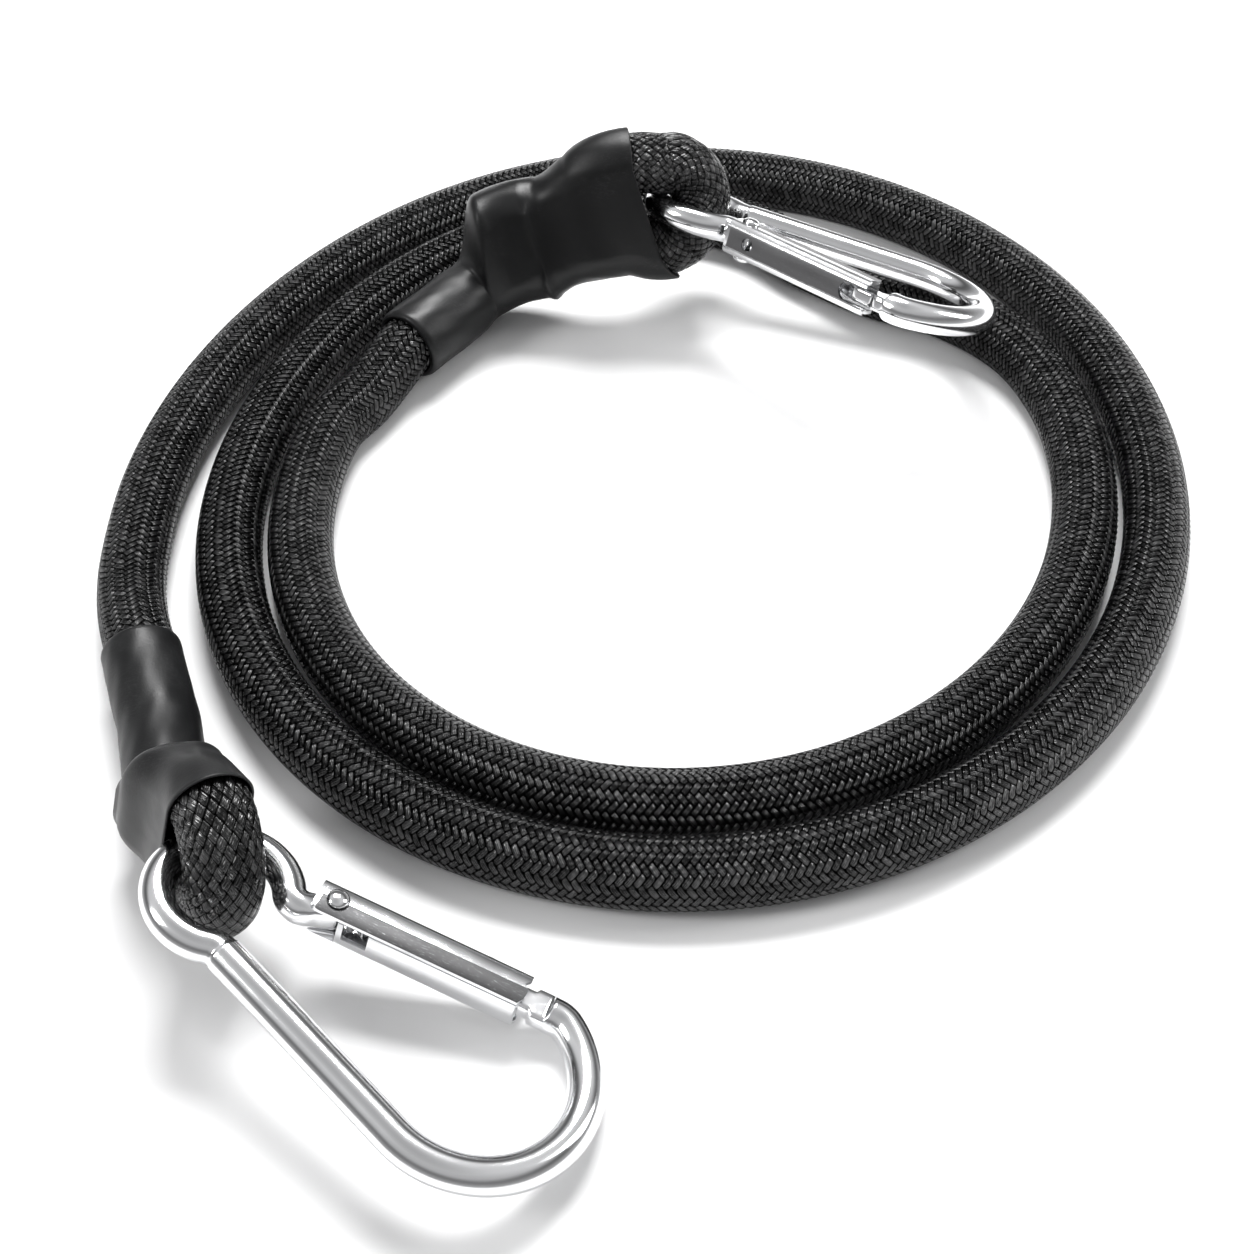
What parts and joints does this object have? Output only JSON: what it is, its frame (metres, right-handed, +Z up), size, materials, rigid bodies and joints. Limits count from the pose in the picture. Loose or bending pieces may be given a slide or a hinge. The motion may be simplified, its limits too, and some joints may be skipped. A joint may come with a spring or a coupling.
{
  "type": "bungee cord",
  "caption": "Braided elastic cord laid in loose coils, each end folded into a sleeved eye that carries a snap hook with a sprung gate.",
  "frame": {"origin": "on the floor, under the middle of the box round the two hooks and sleeves", "axes": "+Z up from the floor the coil lies on, +Y away from the first hook's side, +X to the right"},
  "size_m": [0.2012, 0.2469, 0.0418],
  "materials": {
    "braid": "black polyester braid with a slight gloss",
    "elastic": "natural rubber strands",
    "sleeve": "matte black shrunk tubing",
    "band": "plain steel strip",
    "hook": "bright polished plating",
    "sheet": "bright folded sheet with a satin outer face",
    "wire": "plain spring steel"
  },
  "bodies": {
    "cord": {"cord_cover": "braid", "cord_core": "elastic", "eye_cover_1": "braid", "eye_core_1": "elastic", "clamp_band_1": "band", "sleeve_1": "sleeve", "eye_cover_2": "braid", "eye_core_2": "elastic", "clamp_band_2": "band", "sleeve_2": "sleeve"},
    "hook 1": {"hook_frame_1": "hook", "gate_rivet_1": "hook"},
    "gate 1": {"gate_1": "sheet", "gate_pin_1": "wire", "gate_spring_1": "wire"},
    "hook 2": {"hook_frame_2": "hook", "gate_rivet_2": "hook"},
    "gate 2": {"gate_2": "sheet", "gate_pin_2": "wire", "gate_spring_2": "wire"}
  },
  "joints": [
    {"name": "hook_1_swing", "type": "hinge", "parent": "cord", "child": "hook 1", "pos_m": [-0.05067, -0.0649, 0.0166], "axis": [-0.2736, -0.0815, -0.9584], "range_deg": [0, 60]},
    {"name": "gate_1_open", "type": "hinge", "parent": "hook 1", "child": "gate 1", "pos_m": [-0.03488, -0.06562, 0.01215], "axis": [-0.2736, -0.0815, -0.9584], "range_deg": [0, 35], "stiffness_Nm_per_rad": 0.2, "springref_deg": -22.92},
    {"name": "hook_2_swing", "type": "hinge", "parent": "cord", "child": "hook 2", "pos_m": [0.02423, 0.096, 0.0213], "axis": [-0.2367, -0.3491, -0.9067], "range_deg": [0, 35]},
    {"name": "gate_2_open", "type": "hinge", "parent": "hook 2", "child": "gate 2", "pos_m": [0.03245, 0.08215, 0.02449], "axis": [0.2367, 0.3491, 0.9067], "range_deg": [0, 35], "stiffness_Nm_per_rad": 0.2, "springref_deg": -22.92}
  ]
}
